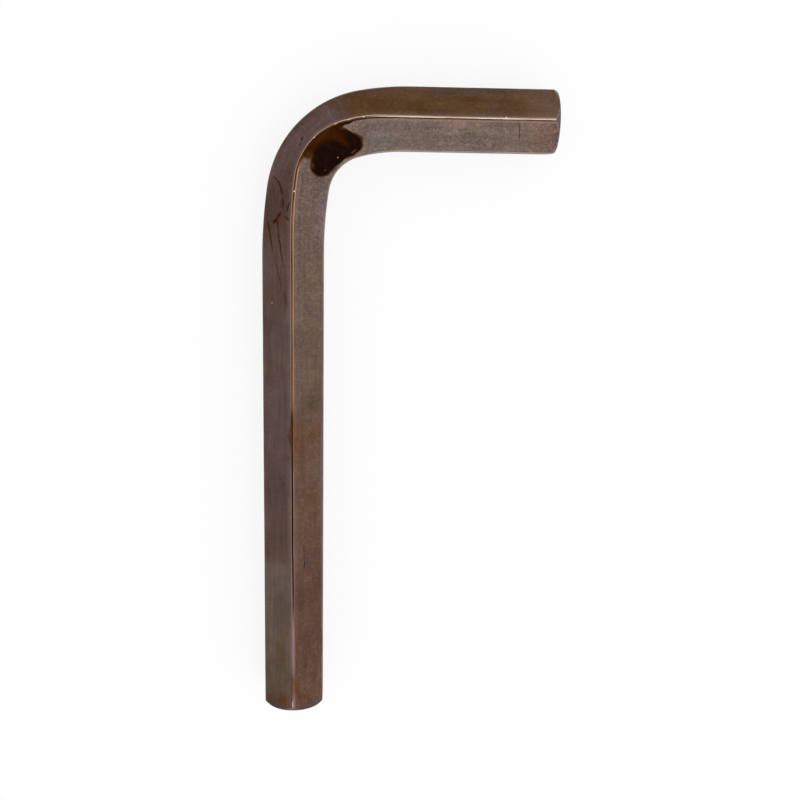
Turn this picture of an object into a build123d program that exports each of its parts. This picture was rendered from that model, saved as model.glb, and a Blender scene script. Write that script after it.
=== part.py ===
"""Hex key: one length of hexagonal steel bar, bent once to an L and bevelled at both ends.

The key lies with the plane of its L level. The bend is across the flats, so each arm has a
flat on its outer side, a flat on its inner side, and a corner edge on top and underneath. The
key rests on its two lower corner edges.

Frame: +Z up. The long arm runs along Y and ends at -Y, the short arm runs along X and ends at
+X, and the bend is in the -X +Y corner. The origin is the centre of the bounding box's base.
While the key is worked out, the outer flats of the two arms lie on X = 0 and Y = 0, and the
arms' axes lie on Z = 0.
"""
from build123d import *
import os
from dataclasses import dataclass
from math import cos, radians, sin, tan

# Driving dimensions, in millimetres and degrees
across_flats = 6.0          # size of the socket that the key turns
long_arm_length = 63.5      # from the short arm's outer flat to the long arm's tip
short_arm_length = 28.75    # from the long arm's outer flat to the short arm's tip
corner_radius = 0.18        # rounding along the bar's six corner edges
inner_bend_radius = 4.1     # tightest radius of the flat inside the bend
bend_shift = 0.9            # against concentric arcs, the outer flat bends this much wider
                            # and the top and bottom corner edges this much tighter
tip_face_diameter = 5.9     # the flat round face left on each tip
tip_bevel = 49.0            # slope of the tips' bevels, from the plane of the tip


@dataclass(frozen=True)
class BendLine:
    """A line along the bar and round the bend: a gentle lead, the tight middle, a gentle lead."""

    depth: float             # distance in from the outer flats of both arms
    middle_radius: float
    long_lead_radius: float
    long_lead_angle: float
    short_lead_radius: float
    short_lead_angle: float


outer_line = BendLine(depth=0.0,
                      middle_radius=inner_bend_radius + across_flats + bend_shift,
                      long_lead_radius=49.0, long_lead_angle=8.4,
                      short_lead_radius=28.0, short_lead_angle=10.5)
corner_line = BendLine(depth=across_flats / 2,
                       middle_radius=inner_bend_radius + across_flats / 2 - bend_shift,
                       long_lead_radius=47.5, long_lead_angle=7.2,
                       short_lead_radius=13.5, short_lead_angle=18.3)
inner_line = BendLine(depth=across_flats,
                      middle_radius=inner_bend_radius,
                      long_lead_radius=41.0, long_lead_angle=8.7,
                      short_lead_radius=16.3, short_lead_angle=15.6)

half_width = across_flats / 2
slant = radians(30)                                     # a slanted flat's fall from level
corner_height = half_width / cos(slant)                 # a corner edge before it is rounded
rest_height = (half_width - corner_radius) / cos(slant) + corner_radius
blank_half_width = 1.3 * half_width                     # the swept blank is wider than the bar
overrun = across_flats                                  # cutting shapes reach past the bar


def bend_wire(line: BendLine, long_end: float, short_end: float) -> Wire:
    """The line from Y = -long_end on the long arm, round the bend, to X = short_end."""
    tight_angle = 90 - line.long_lead_angle - line.short_lead_angle
    arcs = [(line.long_lead_radius, line.long_lead_angle),
            (line.middle_radius, tight_angle),
            (line.short_lead_radius, line.short_lead_angle)]
    turned, rise = 0.0, 0.0
    for radius, angle in arcs:
        rise += radius * (sin(radians(turned + angle)) - sin(radians(turned)))
        turned += angle
    edges = [Line((line.depth, -long_end), (line.depth, -line.depth - rise))]
    for radius, angle in arcs:
        edges.append(JernArc(start=edges[-1] @ 1, tangent=edges[-1] % 1, radius=radius,
                             arc_size=-angle))
    edges.append(Line(edges[-1] @ 1, (short_end, -line.depth)))
    return Wire(edges)


def slanted_blank() -> Part:
    """The four slanted flats and the two rounded corner edges, swept along the corner line."""
    edge_height = corner_height - blank_half_width * tan(slant)
    outline = Polygon((0, corner_height), (blank_half_width, edge_height),
                      (blank_half_width, -edge_height), (0, -corner_height),
                      (-blank_half_width, -edge_height), (-blank_half_width, edge_height),
                      align=None)
    ridges = outline.vertices().group_by(Axis.X)[1]
    start = Plane(origin=(half_width, -long_arm_length, 0), x_dir=(1, 0, 0), z_dir=(0, 1, 0))
    section = start * fillet(ridges, corner_radius)
    return sweep(section, path=bend_wire(corner_line, long_arm_length, short_arm_length))


def side_flats() -> Part:
    """The L between the inner and the outer flats, deeper than the bar."""
    long_end, short_end = long_arm_length + overrun, short_arm_length + overrun
    outer = bend_wire(outer_line, long_end, short_end)
    inner = bend_wire(inner_line, long_end, short_end)
    ends = [Line(outer @ 0, inner @ 0), Line(outer @ 1, inner @ 1)]
    return extrude(make_face(outer.edges() + inner.edges() + ends), across_flats, both=True)


def side_edges(bar: Part) -> list[Edge]:
    """The edges between side and slanted flats, about half as high as the corner edges."""
    return [edge for edge in bar.edges()
            if 0.35 < abs(edge.center().Z) / corner_height < 0.65
            and edge.center().Y > -long_arm_length + corner_radius
            and edge.center().X < short_arm_length - corner_radius]


def bevel_cutter() -> Part:
    """A ring whose inner face is a tip's bevel cone. The tip is at the origin and faces +Z."""
    inner_radius = tip_face_diameter / 2
    outer_radius = inner_radius + overrun
    fall = overrun * tan(radians(tip_bevel))
    profile = Polygon((inner_radius, 0), (outer_radius, -fall), (outer_radius, overrun),
                      (inner_radius, overrun), align=None)
    return revolve(Plane.XZ * profile, Axis.Z)


def hex_key() -> Part:
    """The whole key, in its own frame."""
    bar = slanted_blank() & side_flats()
    bar = fillet(side_edges(bar), corner_radius)
    long_tip = Plane(origin=(half_width, -long_arm_length, 0), z_dir=(0, -1, 0))
    short_tip = Plane(origin=(short_arm_length, -half_width, 0), z_dir=(1, 0, 0))
    bar -= [tip * bevel_cutter() for tip in (long_tip, short_tip)]
    return Pos(-short_arm_length / 2, long_arm_length / 2, rest_height) * bar


os.makedirs("parts", exist_ok=True)
key = hex_key()
export_step(key, "parts/hex_key.step")
box = key.bounding_box()
print("size", box.size, "from", box.min, "volume", key.volume, "solids", len(key.solids()))
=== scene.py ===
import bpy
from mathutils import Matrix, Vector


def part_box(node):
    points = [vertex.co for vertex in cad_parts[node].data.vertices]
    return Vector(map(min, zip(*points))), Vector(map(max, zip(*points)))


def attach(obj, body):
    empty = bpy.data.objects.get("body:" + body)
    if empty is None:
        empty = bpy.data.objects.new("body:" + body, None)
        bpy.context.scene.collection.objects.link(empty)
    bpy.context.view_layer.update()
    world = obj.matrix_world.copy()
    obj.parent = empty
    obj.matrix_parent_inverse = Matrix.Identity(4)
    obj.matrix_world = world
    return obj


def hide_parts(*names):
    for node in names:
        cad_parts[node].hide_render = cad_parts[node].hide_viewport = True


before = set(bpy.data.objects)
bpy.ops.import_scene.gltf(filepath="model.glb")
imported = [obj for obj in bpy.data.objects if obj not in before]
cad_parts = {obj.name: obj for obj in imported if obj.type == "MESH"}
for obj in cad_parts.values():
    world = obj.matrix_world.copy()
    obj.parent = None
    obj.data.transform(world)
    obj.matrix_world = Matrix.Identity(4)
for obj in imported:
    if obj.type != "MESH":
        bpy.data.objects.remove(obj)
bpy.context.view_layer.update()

import logging
import math
from dataclasses import dataclass
from enum import Enum
from typing import Any, ClassVar

import bpy
import numpy as np

log = logging.getLogger("hex_key")

MM = 0.001                          # the scene is in metres, the key's sizes are in millimetres
SLANT = math.radians(30)            # a slanted flat falls this far from level
HALF_CORNER = math.radians(30)      # a corner of the hexagon turns 30 degrees either way
CORNER_RADIUS = 0.18                # of the bar's corner edges
EDGE_NICKS = (53.4, 58.9, 61.3, 62.6, 64.0, 77.6)   # along the top edge, from the long tip


# ---------------------------------------------------------------------------------------
# Shape
# ---------------------------------------------------------------------------------------

class Corner(Enum):
    """The bar's six corner edges, with their directions round the section from straight up,
    in steps of 60 degrees towards the inside of the bend."""

    BOTTOM = -3
    OUTER_LOWER = -2
    OUTER_UPPER = -1
    TOP = 0
    INNER_UPPER = 1
    INNER_LOWER = 2


@dataclass(frozen=True)
class BendLine:
    """A line along the bar and round its bend: straight, gentle lead, tight middle, gentle
    lead, straight. The long arm's outer flat lies on X = 0 and the short arm's on Y = 0."""

    depth: float                        # of the line below both outer flats
    middle_radius: float
    long_lead_radius: float
    long_lead_angle: float              # in degrees, as the next but one
    short_lead_radius: float
    short_lead_angle: float

    def arcs(self) -> list[tuple[float, float]]:
        """The three arcs as (radius, angle in radians), from the long arm's side."""
        tight = 90 - self.long_lead_angle - self.short_lead_angle
        return [(self.long_lead_radius, math.radians(self.long_lead_angle)),
                (self.middle_radius, math.radians(tight)),
                (self.short_lead_radius, math.radians(self.short_lead_angle))]

    def bend_run(self) -> tuple[float, float]:
        """How far the three arcs reach along X and along Y."""
        turned, run_x, run_y = 0.0, 0.0, 0.0
        for radius, angle in self.arcs():
            run_x += radius * (math.cos(turned) - math.cos(turned + angle))
            run_y += radius * (math.sin(turned + angle) - math.sin(turned))
            turned += angle
        return run_x, run_y

    def length(self, long_end: float, short_end: float) -> float:
        """Length of the line from Y = -long_end to X = short_end."""
        run_x, run_y = self.bend_run()
        arcs = sum(radius * angle for radius, angle in self.arcs())
        return (long_end - self.depth - run_y) + arcs + (short_end - self.depth - run_x)

    def points(self, along: np.ndarray, long_end: float) -> tuple[np.ndarray, np.ndarray]:
        """Points and headings of the line at given distances from its long end.

        On an arc of radius R that starts at heading a, a distance d adds R (cos a - cos b)
        to X and R (sin b - sin a) to Y, where b = a + d / R; a straight adds d to one of them.

        Args:
            along: distances from the long end, any shape (n,).
            long_end: distance of the long end below Y = 0.

        Returns:
            The points, (n, 2), and the headings in radians from +Y towards +X, (n,).
        """
        _, run_y = self.bend_run()
        start = long_end - self.depth - run_y
        x = np.full_like(along, self.depth)
        y = -long_end + np.minimum(along, start)
        heading = np.zeros_like(along)
        turned = 0.0
        for radius, angle in self.arcs():
            inside = np.clip(along - start, 0, radius * angle) / radius
            x += radius * (math.cos(turned) - np.cos(turned + inside))
            y += radius * (np.sin(turned + inside) - math.sin(turned))
            heading += inside
            turned += angle
            start += radius * angle
        x += np.maximum(along - start, 0)
        return np.stack([x, y], axis=1), heading


@dataclass(frozen=True)
class Nick:
    """A small knock in the bar: where it is along and round the bar, its size and depth."""

    along: float
    across: float = 0.0
    length: float = 0.25
    width: float = 0.12
    depth: float = 0.02


@dataclass(frozen=True)
class Wave:
    """A slow wave in the bar's flats: the lengths over which its phase turns by a radian
    along and round the bar, and its phase at the long tip's top edge."""

    along: float
    across: float
    phase: float


@dataclass
class HexBar:
    """The bent hexagonal bar as one closed surface, a grid of rows along it and columns
    round it. Sizes are in millimetres until the mesh is written."""

    across_flats: float
    long_arm: float
    short_arm: float
    rest_height: float
    nicks: tuple[Nick, ...] = ()
    inner_bend_radius: float = 4.1
    bend_shift: float = 0.9             # how much tighter the top edge's bend is than concentric
    corner_radius: float = CORNER_RADIUS
    worn_radius: float = 0.42           # of the top corner edge, where the long tip is worn
    worn_length: float = 14.0
    worn_fade: float = 1.5              # power by which the wear fades along its length
    tip_face_diameter: float = 5.9
    tip_bevel: float = math.radians(49)
    edge_break: float = 0.02            # softness of the edge between a flat and a bevel
    face_drop: float = 0.006            # how far the rounded rim of a tip face lies back
    wave_height: float = 0.0015
    waves: tuple[Wave, ...] = (Wave(1.7, 1.4, 2.0), Wave(4.7, -0.9, 4.0))
    row_step: float = 0.15
    tip_inset: float = 0.02             # the first row's distance from a tip face
    tip_zone: float = 1.0               # length of the close rows at each tip
    tip_rows: int = 34
    tip_crowding: float = 1.3           # power by which they close up on the tip
    face_rings: tuple[float, ...] = (0.3, 0.6, 0.8, 0.92, 0.975, 0.99)      # shares of its radius
    outline_step: float = 0.05
    flat_columns: int = 10
    corner_columns: int = 6

    def __post_init__(self) -> None:
        """Lays out the three lines that the section is hung on."""
        half = self.across_flats / 2
        self.outer = BendLine(
            depth=0.0, middle_radius=self.inner_bend_radius + self.across_flats + self.bend_shift,
            long_lead_radius=49.0, long_lead_angle=8.4, short_lead_radius=28.0, short_lead_angle=10.5)
        self.corner = BendLine(
            depth=half, middle_radius=self.inner_bend_radius + half - self.bend_shift,
            long_lead_radius=47.5, long_lead_angle=7.2, short_lead_radius=13.5, short_lead_angle=18.3)
        self.inner = BendLine(
            depth=self.across_flats, middle_radius=self.inner_bend_radius,
            long_lead_radius=41.0, long_lead_angle=8.7, short_lead_radius=16.3, short_lead_angle=15.6)
        self.corner_height = half / math.cos(SLANT)
        self.length = self.corner.length(self.long_arm, self.short_arm)

    def rows_along(self) -> np.ndarray:
        """Distances of the rows along the corner line: close together at both tips."""
        fine = np.linspace(0.0, 1.0, self.tip_rows) ** self.tip_crowding
        tip = self.tip_inset + (self.tip_zone - self.tip_inset) * fine
        coarse_count = int(self.length / self.row_step)
        coarse = np.linspace(self.tip_zone, self.length - self.tip_zone, coarse_count)[1:-1]
        return np.concatenate([tip, coarse, self.length - tip[::-1]])

    def reach(self, line: BendLine, centre: np.ndarray, heading: np.ndarray) -> np.ndarray:
        """Distance from the corner line square across to an outline, for each row.

        The outline's points are put in each row's own axes; where their distance ahead of
        the row passes zero, their distance to the side is the reach.

        Args:
            line: the outer or the inner outline.
            centre: the corner line's points, (rows, 2).
            heading: the corner line's headings, (rows,).

        Returns:
            The signed reach towards the inside of the bend, (rows,).
        """
        overrun = self.across_flats
        long_end = self.long_arm + overrun
        total = line.length(long_end, self.short_arm + overrun)
        outline, _ = line.points(np.arange(0, total, self.outline_step), long_end)
        ahead = np.stack([np.sin(heading), np.cos(heading)], axis=1)
        side = np.stack([np.cos(heading), -np.sin(heading)], axis=1)
        before = outline @ ahead.T - (centre * ahead).sum(1)
        beside = outline @ side.T - (centre * side).sum(1)
        row = np.arange(len(centre))
        nearest = np.clip(np.abs(before).argmin(0), 1, len(outline) - 2)
        rise = beside[nearest + 1, row] - beside[nearest - 1, row]
        run = before[nearest + 1, row] - before[nearest - 1, row]
        return beside[nearest, row] - before[nearest, row] * rise / run

    def section(self, along: np.ndarray, inside: np.ndarray, outside: np.ndarray) -> np.ndarray:
        """The rounded hexagon of every row: six arcs joined by six flats.

        Each corner's arc has its centre where it touches both of its flats, and turns 30
        degrees either way from the corner's direction. A flat is divided in steps that are
        short beside the arcs, by half a cosine.

        Args:
            along: rows' distances from the long tip, (rows,).
            inside: reach to the inner outline, (rows,).
            outside: reach to the outer outline as a positive length, (rows,).

        Returns:
            Offsets towards the inside and heights, (rows, columns, 2).
        """
        worn = np.clip(1 - along / self.worn_length, 0, 1) ** self.worn_fade
        turn = np.linspace(-HALF_CORNER, HALF_CORNER, self.corner_columns + 1)
        share = (1 - np.cos(np.linspace(0, math.pi, self.flat_columns + 1)[1:-1])) / 2
        arcs = []
        for corner in Corner:
            radius = np.full_like(along, self.corner_radius)
            if corner is Corner.TOP:
                radius = radius + (self.worn_radius - self.corner_radius) * worn
            side = np.zeros_like(along)
            if corner in (Corner.INNER_UPPER, Corner.INNER_LOWER):
                side = inside - radius
            if corner in (Corner.OUTER_UPPER, Corner.OUTER_LOWER):
                side = radius - outside
            drop = np.abs(side) * math.tan(SLANT) + radius / math.cos(SLANT)
            upward = 1 if corner in (Corner.TOP, Corner.INNER_UPPER, Corner.OUTER_UPPER) else -1
            height = upward * (self.corner_height - drop)
            angle = corner.value * 2 * HALF_CORNER + turn
            arcs.append(np.stack([side[:, None] + radius[:, None] * np.sin(angle),
                                  height[:, None] + radius[:, None] * np.cos(angle)], axis=2))
        columns = []
        for arc, following in zip(arcs, arcs[1:] + arcs[:1]):
            begin, end = arc[:, -1:], following[:, :1]
            columns += [arc, begin + (end - begin) * share[None, :, None]]
        return np.concatenate(columns, axis=1)

    def distance_round(self) -> np.ndarray:
        """Distance of each column round the section of a straight arm, from the top edge.

        Returns:
            The distances, with the first column's again at the end, (columns + 1,).
        """
        straight = np.full(1, self.across_flats / 2)
        ring = self.section(np.full(1, self.length / 2), straight, straight)[0]
        steps = np.hypot(*np.diff(np.vstack([ring, ring[:1]]), axis=0).T)
        distance = np.concatenate([[0.0], np.cumsum(steps)])
        columns_per_corner = self.corner_columns + self.flat_columns
        top = (len(Corner) // 2) * columns_per_corner + self.corner_columns // 2
        return distance - distance[top]

    def surface(self) -> tuple[np.ndarray, np.ndarray, np.ndarray]:
        """Points of the bar's side and bevels.

        A row's section is shrunk to the tip's cone where that is smaller, by the smooth
        minimum -k log(exp(-a/k) + exp(-b/k)) of the two radii, which softens their edge.

        Returns:
            Points in millimetres, (rows, columns, 3), the rows' distances, (rows,), and how
            far each point lies on a bevel, from 0 to 1, (rows, columns).
        """
        along = self.rows_along()
        centre, heading = self.corner.points(along, self.long_arm)
        inside = self.reach(self.inner, centre, heading)
        outside = -self.reach(self.outer, centre, heading)
        section = self.section(along, inside, outside)
        section = section * (1 + self.relief(along) / np.linalg.norm(section, axis=2))[..., None]
        radius = np.linalg.norm(section, axis=2)
        from_tip = np.minimum(along, self.length - along)[:, None]
        cone = self.tip_face_diameter / 2 + from_tip / math.tan(self.tip_bevel)
        near = np.minimum(radius, cone)
        smooth = near - self.edge_break * np.log(np.exp((near - radius) / self.edge_break)
                                                 + np.exp((near - cone) / self.edge_break))
        by_tip = from_tip < 2 * self.tip_zone
        section = section * (np.where(by_tip, smooth, radius) / radius)[..., None]
        side = np.stack([np.cos(heading), -np.sin(heading)], axis=1)
        plan = centre[:, None] + section[..., :1] * side[:, None]
        bevel = np.clip((radius - cone) / self.edge_break, 0, 1)
        return np.concatenate([plan, section[..., 1:]], axis=2), along, bevel

    def relief(self, along: np.ndarray) -> np.ndarray:
        """Height of the surface's unevenness: slow sine waves left by drawing and bending,
        one of them bent into a snake by a sine of its own, and nicks, each a bell curve
        exp(-r^2) along and across the bar.

        Args:
            along: rows' distances from the long tip, (rows,).

        Returns:
            Heights in millimetres, never above the true surface, (rows, columns).
        """
        across = self.distance_round()[:-1]
        a, c = along[:, None], across[None, :]
        snake_along, snake_across, snake_swing = 2.9, 2.1, 1.3
        waves = np.sin(a / snake_along + snake_swing * np.sin(c / snake_across)) - 1.0
        for wave in self.waves:
            waves = waves + np.sin(a / wave.along + c / wave.across + wave.phase) - 1.0
        height = self.wave_height * waves
        for nick in self.nicks:
            away = ((a - nick.along) / nick.length) ** 2 + ((c - nick.across) / nick.width) ** 2
            height = height - nick.depth * np.exp(-away)
        return height

    def tip_face(self, row: np.ndarray, middle: np.ndarray, outward: np.ndarray) -> np.ndarray:
        """Rings of a tip face: the tip row moved out to the face and drawn in to its middle.

        Args:
            row: the tip row's points, (columns, 3).
            middle: the middle of the face.
            outward: the direction that the face looks in.

        Returns:
            The rings from the innermost out, (rings, columns, 3).
        """
        share = np.array(self.face_rings)[:, None, None]
        drop = np.where(share == share.max(), self.face_drop, 0.0)
        rim = row + outward * self.tip_inset
        return middle + (rim - middle) * share - outward * drop

    def close_tips(self, side: np.ndarray, along: np.ndarray) -> tuple[np.ndarray, np.ndarray]:
        """Adds the rings of the two tip faces to the rows.

        Args:
            side: points of the side and bevels, (rows, columns, 3).
            along: rows' distances, (rows,).

        Returns:
            The points and distances of all rows; on a face the distance runs on inwards.
        """
        half = self.across_flats / 2
        long_face = self.tip_face(side[0], np.array([half, -self.long_arm, 0]),
                                  np.array([0, -1.0, 0]))
        short_face = self.tip_face(side[-1], np.array([self.short_arm, -half, 0]),
                                   np.array([1.0, 0, 0]))
        inwards = (1 - np.array(self.face_rings)) * self.tip_face_diameter / 2
        return (np.concatenate([long_face, side, short_face[::-1]]),
                np.concatenate([-inwards, along, self.length + inwards[::-1]]))

    def make_mesh(self, name: str, grid: np.ndarray) -> bpy.types.Mesh:
        """Joins the rows with quads, and the first and last of them to a pole with a fan.

        Args:
            name: the mesh's name.
            grid: the points in millimetres, (rows, columns, 3).

        Returns:
            The closed mesh, with its faces outward and its place in its points.
        """
        rows, columns = grid.shape[:2]
        origin = np.array([-self.short_arm / 2, self.long_arm / 2, self.rest_height])
        grid = (grid + origin) * MM
        poles = np.stack([grid[0].mean(0), grid[-1].mean(0)])
        vertices = np.concatenate([grid.reshape(-1, 3), poles])
        first = np.arange(columns)
        after = (first + 1) % columns
        row = np.arange(rows - 1)[:, None] * columns
        quads = np.stack([row + first, row + columns + first, row + columns + after, row + after],
                         axis=2).reshape(-1, 4)
        low, high = rows * columns, rows * columns + 1
        last = (rows - 1) * columns
        fans = np.concatenate([np.stack([np.full(columns, low), first, after], axis=1),
                               np.stack([np.full(columns, high), last + after, last + first], axis=1)])
        mesh = bpy.data.meshes.new(name)
        mesh.from_pydata(vertices.tolist(), [], quads.tolist() + fans.tolist())
        mesh.validate()
        mesh.shade_smooth()
        return mesh

    def write_map(self, mesh: bpy.types.Mesh, along: np.ndarray) -> None:
        """Writes the bar's map: distance along it and distance round it, both in millimetres.

        Args:
            mesh: the closed mesh.
            along: rows' distances, (rows,).
        """
        distance = self.distance_round()
        begin, end = distance[:-1], distance[1:]
        columns, gaps = len(begin), len(along) - 1
        u = np.stack([along[:-1], along[1:], along[1:], along[:-1]], axis=1)
        v = np.stack([begin, begin, end, end], axis=1)
        parts = [np.stack([np.broadcast_to(u[:, None], (gaps, columns, 4)),
                           np.broadcast_to(v[None], (gaps, columns, 4))], axis=3)]
        to_pole = self.tip_face_diameter / 2
        for pole, rim, left, right in ((-to_pole, along[0], begin, end),
                                       (self.length + to_pole, along[-1], end, begin)):
            u = np.broadcast_to([pole, rim, rim], (columns, 3))
            v = np.stack([(begin + end) / 2, left, right], axis=1)
            parts.append(np.stack([u, v], axis=2))
        flat = np.concatenate([part.reshape(-1, 2) for part in parts])
        bar_map = mesh.uv_layers.new(name="bar")
        bar_map.uv.foreach_set("vector", flat.astype(np.float32).ravel())

    def write_mark(self, mesh: bpy.types.Mesh, name: str, values: np.ndarray, poles: float) -> None:
        """Writes a mark from 0 to 1 on the mesh's points under a name.

        Args:
            mesh: the closed mesh.
            name: the mark's name.
            values: its value at each point of the grid, (rows, columns).
            poles: its value at both poles.
        """
        attribute = mesh.attributes.new(name, "FLOAT", "POINT")
        marks = np.append(values.ravel(), [poles, poles])
        attribute.data.foreach_set("value", marks.astype(np.float32))

    def build(self, name: str) -> bpy.types.Object:
        """Makes the closed bar, with its own map and marks on its corner edges and on the
        ground surfaces of its tips.

        Args:
            name: the object's name.

        Returns:
            The object, at the origin, with its place in its mesh.
        """
        side, along, bevel = self.surface()
        grid, along = self.close_tips(side, along)
        rings = len(self.face_rings)
        ground = np.pad(bevel, ((rings, rings), (0, 0)), constant_values=1.0)
        step = np.arange(grid.shape[1]) % (self.corner_columns + self.flat_columns)
        on_corner = np.broadcast_to(step <= self.corner_columns, grid.shape[:2])
        mesh = self.make_mesh(name, grid)
        self.write_map(mesh, along)
        self.write_mark(mesh, "corner", on_corner, 0.0)
        self.write_mark(mesh, "ground", ground, 1.0)
        key = bpy.data.objects.new(name, mesh)
        bpy.context.scene.collection.objects.link(key)
        log.info("%s: %d faces, %.1f mm along", name, len(mesh.polygons), self.length)
        return key


# ---------------------------------------------------------------------------------------
# Finish
# ---------------------------------------------------------------------------------------

def linear(colour: str) -> tuple[float, float, float, float]:
    """An sRGB hex colour as linear red, green, blue and alpha."""
    values = [int(colour[i:i + 2], 16) / 255 for i in (1, 3, 5)]
    return (*[v / 12.92 if v <= 0.04045 else ((v + 0.055) / 1.055) ** 2.4 for v in values], 1.0)


def add_node(tree: bpy.types.NodeTree, kind: str, settings: dict[str, Any],
             inputs: dict[Any, Any]) -> bpy.types.Node:
    """Adds a shader node with its settings and its inputs.

    Args:
        tree: the node tree.
        kind: the node's type name.
        settings: properties of the node.
        inputs: a value or an output socket for each input name or index.

    Returns:
        The node.
    """
    node = tree.nodes.new(kind)
    for key, value in settings.items():
        setattr(node, key, value)
    for key, value in inputs.items():
        if isinstance(value, bpy.types.NodeSocket):
            tree.links.new(value, node.inputs[key])
        else:
            node.inputs[key].default_value = value
    return node


@dataclass(frozen=True)
class Tone:
    """The oxide's colour at a distance along the bar, in millimetres from the long tip."""

    along: float
    colour: str


@dataclass(frozen=True)
class Patch:
    """A patch or streak: an ellipse in the bar's map, with its middle, its half length and
    half width in millimetres, and its turn in degrees towards the inner side."""

    along: float
    across: float
    length: float
    width: float
    colour: str = ""
    strength: float = 0.6
    turn: float = 0.0
    edge: ClassVar[float] = 0.6         # share of the radius over which it fades out


class Cloud(Patch):
    """A patch that fades all the way from its middle."""

    edge: ClassVar[float] = 1.0


class Spot(Patch):
    """A small patch with a clearer edge."""

    edge: ClassVar[float] = 0.5


class Lobe(Patch):
    """A lobe of the pool of oil, with a sharp edge; the pool has one colour for all."""

    edge: ClassVar[float] = 0.3


@dataclass(frozen=True)
class Strip:
    """One of the fine lines side by side along the top edge: its borders round the bar and
    their blur in millimetres, and its colours along the bar."""

    start: float
    end: float
    blur: float
    tones: tuple[Tone, ...]


@dataclass(frozen=True)
class Grain:
    """Cloudy noise in space, with features of a size in millimetres."""

    size: float
    detail: float = 2.0
    roughness: float = 0.5


@dataclass(frozen=True)
class Streaks:
    """Noise drawn out along the bar, with streaks of a length and width in millimetres."""

    length: float
    width: float
    detail: float = 3.0


@dataclass(frozen=True)
class Fleck:
    """A colour laid where cloudy noise passes a level, full from the other level on."""

    grain: Grain
    colour: str
    start: float
    full: float
    strength: float


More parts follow.
